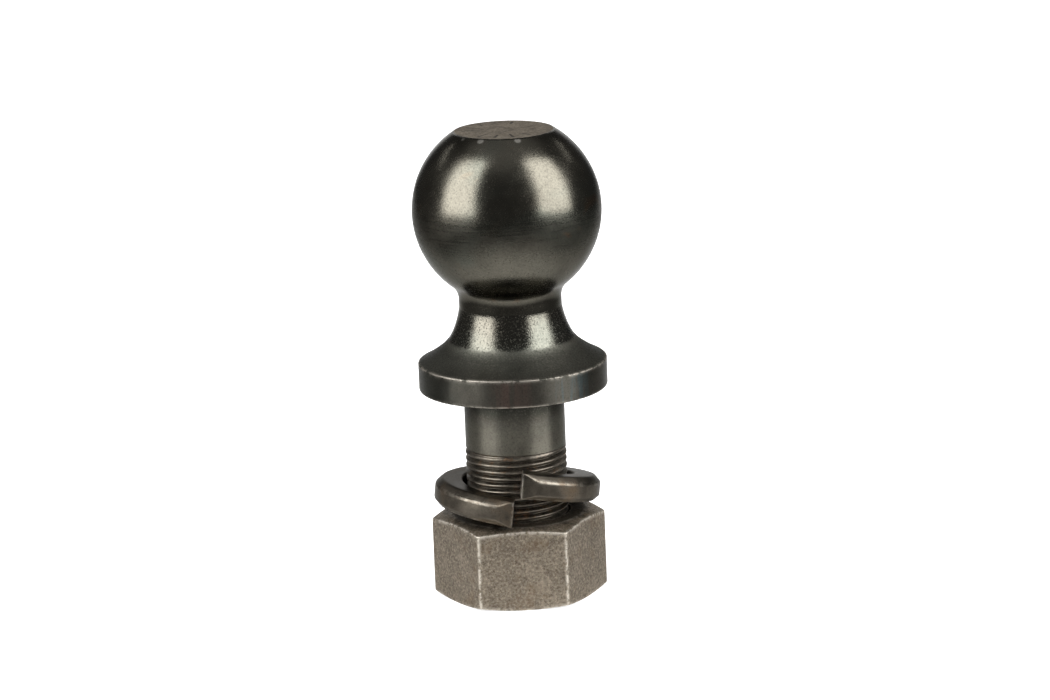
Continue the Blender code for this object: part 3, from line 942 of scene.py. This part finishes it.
def aim(thing, target, roll=0.0):
    """Points a lamp's or camera's -Z at a target, then rolls it about that line."""
    direction = Vector(target) - thing.location
    turned = direction.to_track_quat("-Z", "Y") @ Quaternion((0, 0, 1), roll)
    thing.rotation_mode = "QUATERNION"
    thing.rotation_quaternion = turned


def soft_box(name, side, direction, distance, facing, width, height, radiance, roll):
    """A rectangular lamp seen from the ball in a direction, on one side (1 right, -1 left)."""
    lamp = bpy.data.lights.new(name, "AREA")
    lamp.shape = "RECTANGLE"
    lamp.size = width
    lamp.size_y = height
    lamp.energy = radiance * math.pi * width * height
    light = bpy.data.objects.new(name, lamp)
    bpy.context.scene.collection.objects.link(light)
    mirror = Vector((side, 1, 1))
    light.location = Vector((0, 0, BALL_CENTRE_Z)) + Vector(direction).normalized() * mirror * distance
    aim(light, light.location + Vector(facing) * mirror, roll * side)
    light.visible_camera = False


def make_table():
    """A white paper sweep with a painted pool of light: dimmer away from the part in front and beside it,
    wide and bright behind it, as reflections and bounced light see it; to the camera it is a painted white
    glow.
    """
    corners = [(-1, -1, 0), (1, -1, 0), (1, 1.6, 0), (-1, 1.6, 0)]
    nodes = Nodes("table_white")
    seen = nodes.tree.nodes.new("ShaderNodeLightPath").outputs["Is Camera Ray"]
    x, y, _ = nodes.separate()
    in_front = nodes.math("MINIMUM", y, 0)
    behind = nodes.math("MAXIMUM", y, 0)
    aside = nodes.math("MULTIPLY", x, 1.45)
    away = nodes.length(aside, in_front)
    away = nodes.math("DIVIDE", away, nodes.math("MULTIPLY_ADD", behind, 3, 1))
    # Painted light pool: for all but camera rays the table darkens away from the part.
    painted_falloff = nodes.math("MULTIPLY", nodes.spread(away, 0.05, 0.33, 0, 0.9), nodes.math("SUBTRACT", 1, seen))
    grain = nodes.noise(900, 2.0)
    shade = nodes.blend(painted_falloff, nodes.blend(grain, (0.87, 0.87, 0.86), (0.91, 0.91, 0.9)), (0, 0, 0))
    # Painted glow: to the camera the table shines white, which lightens the shadows on it, though it is no
    # lamp.
    nodes.put(nodes.shader.inputs["Emission Strength"], nodes.math("MULTIPLY", seen, 0.8))
    nodes.shader.inputs["Emission Color"].default_value = (1, 1, 1, 1)
    nodes.finish(shade, 0.7, 0.0, nodes.bump(grain, 0.02 * MM, 0.2), 1.0)
    nodes.shader.inputs["Specular IOR Level"].default_value = 0
    mesh = bpy.data.meshes.new("table")
    mesh.from_pydata(corners, [], [(0, 1, 2, 3)])
    mesh.materials.append(nodes.material)
    table = bpy.data.objects.new("table", mesh)
    bpy.context.scene.collection.objects.link(table)


def make_world():
    """White where the camera looks past the part; in reflections a dim room, paler overhead and behind."""
    world = bpy.data.worlds.new("studio")
    bpy.context.scene.world = world
    world.use_nodes = True
    tree = world.node_tree
    coordinate = tree.nodes.new("ShaderNodeTexCoord")
    split = tree.nodes.new("ShaderNodeSeparateXYZ")
    ceiling = tree.nodes.new("ShaderNodeMapRange")
    backdrop = tree.nodes.new("ShaderNodeMapRange")
    for node, levels in ((ceiling, (0.72, 0.98, 0.09, 0.36)), (backdrop, (0.9, 0.98, 0, 0.9))):
        node.interpolation_type = "SMOOTHSTEP"
        for name, value in zip(("From Min", "From Max", "To Min", "To Max"), levels):
            node.inputs[name].default_value = value
    room = tree.nodes.new("ShaderNodeMath")
    room.operation = "ADD"
    seen = tree.nodes.new("ShaderNodeLightPath")
    mix = tree.nodes.new("ShaderNodeMix")
    mix.data_type = "RGBA"
    mix.inputs["B"].default_value = (1, 1, 1, 1)
    tree.links.new(coordinate.outputs["Generated"], split.inputs[0])
    tree.links.new(split.outputs["Z"], ceiling.inputs["Value"])
    tree.links.new(split.outputs["Y"], backdrop.inputs["Value"])
    tree.links.new(ceiling.outputs["Result"], room.inputs[0])
    tree.links.new(backdrop.outputs["Result"], room.inputs[1])
    tree.links.new(room.outputs[0], mix.inputs["A"])
    tree.links.new(seen.outputs["Is Camera Ray"], mix.inputs["Factor"])
    tree.links.new(mix.outputs["Result"], tree.nodes["Background"].inputs["Color"])


def make_studio():
    """Two tall soft boxes beside the part, and two thin strips behind it."""
    distance = 1.1
    box = {
        "direction": (0.787, -0.262, 0.61),
        "facing": (-0.572, 0.797, -0.194),
        "width": 0.76 * distance,
        "height": 1.22 * distance,
        "radiance": 5.5,
        "roll": -0.079,
    }
    strip = {
        "direction": (0.655, 0.56, 0.51),
        "facing": (-0.655, -0.56, -0.51),
        "width": 0.36,
        "height": 0.035,
        "radiance": 3.0,
        "roll": 0.28,
    }
    for side, name in ((-1, "left"), (1, "right")):
        soft_box(f"soft_box_{name}", side, distance=distance, **box)
        soft_box(f"rim_strip_{name}", side, distance=distance, **strip)
    bpy.context.scene.view_settings.view_transform = "Standard"


def make_camera():
    """A long lens, a little above the part, rolled so that the part leans slightly to the left."""
    lens = bpy.data.cameras.new("camera")
    lens.sensor_width = 36
    lens.lens = 141.3
    camera = bpy.data.objects.new("camera", lens)
    bpy.context.scene.collection.objects.link(camera)
    camera.location = (0, -1.2476, 0.38195)
    aim(camera, (0.004, 0, 0.0775), math.radians(-2.18))
    bpy.context.scene.camera = camera


# ---------------------------------------------------------------- assembly


def attach(piece, body, node):
    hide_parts(node)
    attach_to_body(piece, body)


def main():
    attach(make_hitch_ball(ball_materials()), "hitch_ball", "hitch_ball")
    attach(make_hex_nut(nut_materials()), "hex_nut", "hex_nut")
    attach(make_lock_washer(washer_materials()), "lock_washer", "lock_washer")
    make_table()
    make_world()
    make_studio()
    make_camera()
    bpy.context.view_layer.update()


main()
